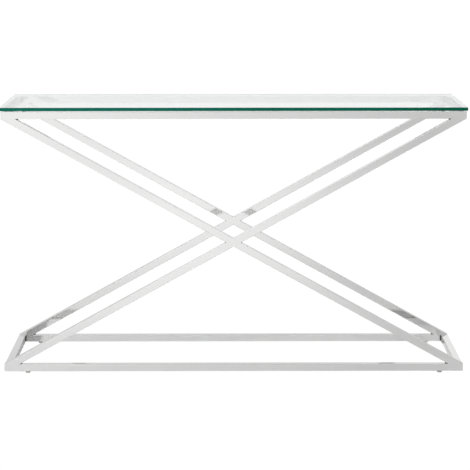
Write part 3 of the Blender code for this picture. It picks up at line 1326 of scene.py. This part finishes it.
    def bead(self, bead: Bead) -> Skin:
        """Shapes a bead as a convex fillet with ripples.

        A point of its section is corner + w ((1 - t) first + t second) (1 + 4 bulge t (1 - t)), with t from 0
        to 1, and one more lies behind the corner, inside the metal. Along the bead w swells with |cos| of the
        distance.

        Args:
            bead: where it lies.

        Returns:
            The fillet.
        """
        length = float(np.linalg.norm(bead.end - bead.start))
        run = np.linspace(0, length, max(2, round(length / self.ripple_pitch * self.ripple_steps)))
        swell = np.abs(np.cos(np.pi * run / self.ripple_pitch))
        width = bead.width * (1 - self.ripple + 2 * self.ripple * swell)
        t = np.linspace(0, 1, self.section_steps)[:, None]
        section = ((1 - t) * bead.first + t * bead.second) * (1 + 4 * self.bulge * t * (1 - t))
        behind = -self.root_depth * (bead.first + bead.second)[None, :]
        ring = np.concatenate([behind, section])
        line = bead.start + (run / length)[:, None] * (bead.end - bead.start)
        return Skin(line[:, None] + width[:, None, None] * ring[None], Ends.CAPPED)


@dataclass
class GlassTop:
    """The pane: clear faces and arrises, and a deep green edge all round."""

    face_finish: FloatGlass = FloatGlass()
    edge_finish: GlassEdge = GlassEdge()
    node: str = "glass_top"
    corner_radius: float = 0.003
    arris: float = 0.0007
    corner_steps: int = 10
    hold: float = 0.0003

    def build(self) -> list[bpy.types.Object]:
        """Builds and dresses the pane.

        The outline is drawn in by the arris on both faces: rings (outline - inset) at heights under the top
        by the same inset. The quads between the two outer rings are the edge.

        Returns:
            The pane, alone.
        """
        low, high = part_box(self.node)
        insets = np.array([self.arris, 0.0, 0.0, self.arris])
        heights = np.array([high.z, high.z - self.arris, low.z + self.arris, low.z])
        outlines = [
            rounded_rectangle(
                high.x - low.x - 2 * inset,
                high.y - low.y - 2 * inset,
                self.corner_radius - inset,
                self.corner_steps,
                self.hold,
            )
            for inset in insets
        ]
        raised = np.broadcast_to(heights[:, None, None], (len(heights), len(outlines[0]), 1))
        rings = np.concatenate([np.stack(outlines), raised], axis=-1)
        piece = make_piece(self.node, [Skin(rings, Ends.CAPPED)])
        mount(piece, "glass", self.face_finish.material("clear_float_glass"), self.node)
        piece.data.materials.append(self.edge_finish.material("polished_glass_edge"))
        piece.data.polygons.foreach_set("material_index", self.edge_faces(piece.data))
        # Lamps shine through clear glass.
        piece.visible_shadow = False
        return [piece]

    @staticmethod
    def edge_faces(mesh: bpy.types.Mesh) -> np.ndarray:
        """Finds the faces that stand upright, which are the edge.

        Args:
            mesh: the pane's mesh.

        Returns:
            1 for each face of the edge and 0 for the others.
        """
        normals = np.empty(len(mesh.polygons) * 3, np.float32)
        mesh.polygons.foreach_get("normal", normals)
        return (np.abs(normals.reshape(-1, 3)[:, 2]) < MOST_UPRIGHT_LEAN).astype(np.int32)


@dataclass
class Bumpers:
    """The clear drops that the glass lies on."""

    finish: ClearPolyurethane = ClearPolyurethane()
    flat: float = 0.75
    steps: int = 9

    def build(self) -> list[bpy.types.Object]:
        """Builds and dresses a bumper at each corner.

        Its side bulges: radius = R (flat + (1 - flat) sqrt(1 - u^2)), with u from -1 at its foot to 1 at its
        top.

        Returns:
            The bumpers.
        """
        made = []
        for corner in Corner:
            name = f"bumper_{corner.label}"
            low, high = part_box(name)
            x, y = centre_of(name)
            u = np.linspace(-1, 1, self.steps)
            radii = (high.x - low.x) / 2 * (self.flat + (1 - self.flat) * np.sqrt(1 - u**2))
            heights = low.z + (high.z - low.z) * (u + 1) / 2
            piece = make_piece(name, [Skin(turned(np.stack([radii, heights], axis=1), x, y), Ends.CAPPED)])
            clear = self.finish.material(f"clear_polyurethane_{corner.label}")
            made.append(mount(piece, "root", clear, name))
        return made


@dataclass
class LevellingFeet:
    """At each corner a weld nut in the base rail, the foot's screw in it and a pad under the screw's head."""

    nickel: NickelPlate = NickelPlate()
    zinc: ZincPlate = ZincPlate()
    nylon: MouldedNylon = MouldedNylon()
    # M8 x 1.25 thread
    pitch: float = 0.00125
    thread_radius: float = 0.004
    thread_depth: float = 0.0007
    thread_clearance: float = 0.00012
    rows_a_turn: int = 12
    steps: int = 48
    tip_chamfer: float = 0.0008
    head_top: float = 0.0057
    edge_radius: float = 0.0005
    socket_mouth_radius: float = 0.0028
    socket_radius: float = 0.0038
    socket_low: float = 0.0027
    socket_high: float = 0.0045
    play: float = 0.0003
    pad_thickness: float = 0.0017

    def build(self) -> list[bpy.types.Object]:
        """Builds and dresses the three pieces of each foot.

        Returns:
            The pieces.
        """
        made = []
        for corner in Corner:
            label = corner.label
            x, y = centre_of(f"foot_pad_{label}")
            nut, screw, pad = (f"foot_{kind}_{label}" for kind in ("nut", "screw", "pad"))
            piece = make_piece(nut, [self.nut(nut, x, y)])
            finish = self.zinc.material(f"zinc_plate_{nut}")
            made.append(mount(piece, "root", finish, nut))
            piece = make_piece(screw, [self.screw(screw, x, y)])
            finish = self.nickel.material(f"nickel_plate_{screw}")
            made.append(mount(piece, screw, finish, screw))
            piece = make_piece(pad, [Skin(turned(self.pad_profile(pad), x, y), Ends.CAPPED)])
            finish = self.nylon.material(f"moulded_nylon_{pad}")
            made.append(mount(piece, pad, finish, pad))
        return made

    @property
    def angles(self) -> np.ndarray:
        """The angles of the points on a ring of thread."""
        return np.arange(self.steps) * 2 * np.pi / self.steps

    def thread(self, heights: np.ndarray) -> np.ndarray:
        """Winds a right-hand thread: R - depth |2 f - 1| with f the fraction of (z / pitch - a / 2 pi).

        Args:
            heights: the rings' heights.

        Returns:
            The radius at each height and angle, with a crest where f is a half.
        """
        phase = np.mod(heights[:, None] / self.pitch - self.angles[None, :] / (2 * np.pi), 1.0)
        return self.thread_radius - self.thread_depth * np.abs(2 * phase - 1)

    def screw(self, node: str, x: float, y: float) -> Skin:
        """Shapes the screw: its threaded shank from the tip down, its round head and the socket for the pad.

        Args:
            node: the screw's CAD node.
            x: its axis's X.
            y: its axis's Y.

        Returns:
            The screw.
        """
        low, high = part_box(node)
        head = (high.x - low.x) / 2
        edge = self.edge_radius
        turns = (high.z - self.head_top) / self.pitch
        heights = np.linspace(high.z, self.head_top, round(turns * self.rows_a_turn))
        root = self.thread_radius - self.thread_depth
        tip = root + (high.z - heights)[:, None]
        shank = np.minimum(self.thread(heights), np.maximum(tip, root - self.tip_chamfer / 2))
        head_profile = np.concatenate(
            [
                [(self.thread_radius, self.head_top)],
                arc((head - edge, self.head_top - edge), edge, 90, 0),
                arc((head - edge, low.z + edge), edge, 0, -90),
                [
                    (self.socket_mouth_radius, low.z),
                    (self.socket_mouth_radius, self.socket_low),
                    (self.socket_radius, self.socket_low),
                    (self.socket_radius, self.socket_high),
                    (self.socket_radius / 4, self.socket_high),
                ],
            ]
        )
        rings = [wrapped(shank, heights, self.angles, x, y), turned(head_profile, x, y, self.steps)]
        return Skin(np.concatenate(rings), Ends.CAPPED)

    def nut(self, node: str, x: float, y: float) -> Skin:
        """Shapes the nut: a hexagon with its corners turned down at both ends, and a thread through it.

        The hexagon's radius is a / cos of the angle from the nearest flat's middle, a being half the width
        across flats, and at the ends it is kept under a + (distance from the end) / tan 30.

        Args:
            node: the nut's CAD node.
            x: its axis's X.
            y: its axis's Y.

        Returns:
            The nut.
        """
        low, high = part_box(node)
        flat = min(high.x - low.x, high.y - low.y) / 2
        turned_down = flat * (1 / math.cos(math.pi / 6) - 1) * math.tan(math.pi / 6)
        ease = np.linspace(0, turned_down, 5)
        heights = np.concatenate([low.z + ease, high.z - ease[::-1]])
        from_flat = np.mod(self.angles + math.pi / 6, math.pi / 3) - math.pi / 6
        hexagon = flat / np.cos(from_flat)
        from_end = np.minimum(heights - low.z, high.z - heights)
        outside = np.minimum(hexagon[None, :], flat + from_end[:, None] / math.tan(math.pi / 6))
        inner_heights = np.linspace(high.z, low.z, round((high.z - low.z) / self.pitch * self.rows_a_turn))
        inside = self.thread(inner_heights) + self.thread_clearance
        shells = ((outside, heights), (inside, inner_heights))
        rings = [wrapped(radii, levels, self.angles, x, y) for radii, levels in shells]
        return Skin(np.concatenate(rings), Ends.JOINED)

    def pad_profile(self, node: str) -> np.ndarray:
        """Draws the pad: a stud that widens inside the screw's head, and a round-edged disc on the floor.

        Args:
            node: the pad's CAD node.

        Returns:
            Its profile, as (radius, height) points from the top down.
        """
        low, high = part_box(node)
        radius, edge = (high.x - low.x) / 2, self.edge_radius
        neck, knob = self.socket_mouth_radius - self.play, self.socket_radius - self.play
        return np.concatenate(
            [
                [(neck / 4, high.z)],
                [(knob, high.z), (knob, self.socket_low + self.play), (neck, self.socket_low + self.play)],
                [(neck, self.pad_thickness)],
                arc((radius - edge, self.pad_thickness - edge), edge, 90, 0),
                arc((radius - edge, low.z + edge), edge, 0, -90),
            ]
        )


# --------------------------------------------------------------------------------------------------
# The studio
# --------------------------------------------------------------------------------------------------


@dataclass(frozen=True)
class Softbox:
    """A rectangular lamp that the eye doesn't see: its middle, what it faces, its sides and brightness."""

    name: str
    place: tuple[float, float, float]
    target: tuple[float, float, float]
    width: float
    height: float
    radiance: float

    def build(self) -> None:
        """Makes the lamp, which only shiny pieces find. Its power is radiance x area x pi."""
        lamp = bpy.data.lights.new(self.name, "AREA")
        lamp.shape = "RECTANGLE"
        lamp.size = self.width
        lamp.size_y = self.height
        lamp.energy = self.radiance * self.width * self.height * math.pi
        box = bpy.data.objects.new(self.name, lamp)
        back = np.array(self.place) - np.array(self.target)
        box.matrix_world = Matrix.Translation(self.place) @ track(back)
        box.visible_camera = False
        box.visible_diffuse = False
        bpy.context.scene.collection.objects.link(box)


def track(back: np.ndarray) -> Matrix:
    """Turns a lamp so that it shines away from a direction, with its X axis level.

    Args:
        back: the direction behind it, which isn't straight up or down.

    Returns:
        The turn.
    """
    z = back / np.linalg.norm(back)
    x = np.cross(Z_AXIS, z)
    x = x / np.linalg.norm(x)
    return Matrix(np.stack([x, np.cross(z, x), z], axis=1).tolist()).to_4x4()


@dataclass
class Studio:
    """A pale lit floor that runs to the horizon, soft light all round, and the camera in front."""

    floor_finish: LitSweep = LitSweep()
    floor_radius: float = 60.0
    floor_steps: int = 96
    floor_rings: int = 12
    # Camera: 8 degrees down from a little above the top, with a long lens
    camera_place: tuple[float, float, float] = (-0.0176, -6.0639, 1.3799)
    yaw: float = 0.0037
    pitch: float = 0.1405
    roll: float = 0.0006
    lens_mm: float = 150.6
    sensor_mm: float = 36.0
    shift_y: float = -0.09
    # Brightness of what surrounds the table, at the sine of each height above the horizon
    surroundings: Curve = (
        (0.0, 0.70),
        (0.065, 0.80),
        (0.088, 0.94),
        (0.106, 0.92),
        (0.225, 0.82),
        (0.40, 0.50),
        (0.70, 0.36),
        (1.0, 0.36),
    )
    # How the surroundings brighten with x times y times z of their direction: high up behind at the right
    lean_from: tuple[float, float] = (0.012, 1.0)
    lean_to: tuple[float, float] = (0.03, 1.3)
    seen: float = 1.02
    key_angle: float = math.radians(7)
    key_strength: float = 3.1
    key_from: tuple[float, float, float] = (-1.0, -0.15, 0.64)
    softboxes: tuple[Softbox, ...] = (
        Softbox("left_front_card", (-2.6, -3.2, 3.6), (0.0, 0.0, 0.4), 5.4, 5.4, 0.75),
        Softbox("right_front_card", (2.6, -3.2, 3.6), (0.0, 0.0, 0.4), 4.4, 4.4, 0.45),
        Softbox("overhead_card", (0.0, -0.6, 4.2), (0.0, 0.0, 0.4), 6.0, 3.0, 0.55),
        Softbox("left_card", (-4.2, -1.5, 1.9), (0.0, -0.6, 0.4), 5.0, 1.4, 0.5),
    )

    def build(self) -> None:
        """Builds the floor, the surroundings, the lamps and the camera."""
        self.make_floor()
        self.make_surroundings()
        self.make_key()
        for softbox in self.softboxes:
            softbox.build()
        self.make_camera()
        bpy.context.scene.view_settings.view_transform = "Standard"

    def make_floor(self) -> None:
        """A disc of rings that widen evenly from its middle: (r cos a, r sin a, 0)."""
        angles = np.arange(self.floor_steps) * 2 * np.pi / self.floor_steps
        widths = np.linspace(0, self.floor_radius, self.floor_rings + 1)[1:]
        radii = widths[:, None] * np.ones(self.floor_steps)
        rings = wrapped(radii, np.zeros(self.floor_rings), angles, 0, 0)
        quads, _ = Skin(rings, Ends.CAPPED).quads()
        mesh = bpy.data.meshes.new("floor")
        middle = list(range(self.floor_steps))
        mesh.from_pydata(rings.reshape(-1, 3), [], [middle, *quads[:, ::-1].tolist()])
        mesh.materials.append(self.floor_finish.material("lit_acrylic_floor"))
        floor = bpy.data.objects.new("floor", mesh)
        bpy.context.scene.collection.objects.link(floor)

    def make_surroundings(self) -> None:
        """Makes the light from all round: a curve over its height, raised with x times y times z."""
        world = bpy.data.worlds.new("studio")
        world.use_nodes = True
        tree = world.node_tree
        tree.nodes.clear()
        way = add_node(tree, "ShaderNodeTexCoord").outputs["Generated"]
        parts = add_node(tree, "ShaderNodeSeparateXYZ", {0: way}).outputs
        bright = ramp(tree, parts["Z"], self.surroundings)
        across = add_node(tree, "ShaderNodeMath", {0: parts["X"], 1: parts["Y"]}, operation="MULTIPLY")
        skew = add_node(tree, "ShaderNodeMath", {0: across.outputs[0], 1: parts["Z"]}, operation="MULTIPLY")
        (from_skew, from_share), (to_skew, to_share) = self.lean_from, self.lean_to
        froms = {"Value": skew.outputs[0], "From Min": from_skew, "From Max": to_skew}
        lean = add_node(tree, "ShaderNodeMapRange", {**froms, "To Min": from_share, "To Max": to_share})
        strength = add_node(tree, "ShaderNodeMath", {0: bright, 1: lean.outputs[0]}, operation="MULTIPLY")
        light, plain = (
            add_node(tree, "ShaderNodeBackground", {"Color": linear(WHITE), "Strength": value}).outputs[0]
            for value in (strength.outputs[0], self.seen)
        )
        mixed = add_node(tree, "ShaderNodeMixShader", {0: looked_at(tree), 1: light, 2: plain})
        add_node(tree, "ShaderNodeOutputWorld", {"Surface": mixed.outputs[0]})
        bpy.context.scene.world = world

    def make_key(self) -> None:
        """The key light: a far soft disc at the left that shades the floor beside the rails."""
        lamp = bpy.data.lights.new("key", "SUN")
        lamp.energy = self.key_strength
        lamp.angle = self.key_angle
        key = bpy.data.objects.new("key", lamp)
        key.matrix_world = track(np.array(self.key_from))
        key.visible_glossy = False
        bpy.context.scene.collection.objects.link(key)

    def make_camera(self) -> None:
        """Makes the camera, turned by yaw towards +X, pitch downwards and roll about the line of sight."""
        lens = bpy.data.cameras.new("camera")
        lens.sensor_width = self.sensor_mm
        lens.lens = self.lens_mm
        lens.shift_y = self.shift_y
        lens.clip_end = 4 * self.floor_radius
        ahead = np.array(
            [
                math.sin(self.yaw) * math.cos(self.pitch),
                math.cos(self.yaw) * math.cos(self.pitch),
                -math.sin(self.pitch),
            ]
        )
        level = np.array([math.cos(self.yaw), -math.sin(self.yaw), 0.0])
        down = np.cross(ahead, level)
        right = level * math.cos(self.roll) + down * math.sin(self.roll)
        up = level * math.sin(self.roll) - down * math.cos(self.roll)
        camera = bpy.data.objects.new("camera", lens)
        turn = Matrix(np.stack([right, up, -ahead], axis=1).tolist()).to_4x4()
        camera.matrix_world = Matrix.Translation(self.camera_place) @ turn
        bpy.context.scene.collection.objects.link(camera)
        bpy.context.scene.camera = camera


def main() -> None:
    """Builds the studio and then each sub-assembly, and reports every piece."""
    logging.basicConfig(level=logging.INFO, format="%(message)s")
    Studio().build()
    sizes = TableSizes.from_frame()
    for assembly in (TubeFrame(sizes), Welds(sizes), GlassTop(), Bumpers(), LevellingFeet()):
        for piece in assembly.build():
            LOG.info("%s: %s, %d faces", type(assembly).__name__, piece.name, len(piece.data.polygons))


if __name__ == "__main__":
    main()
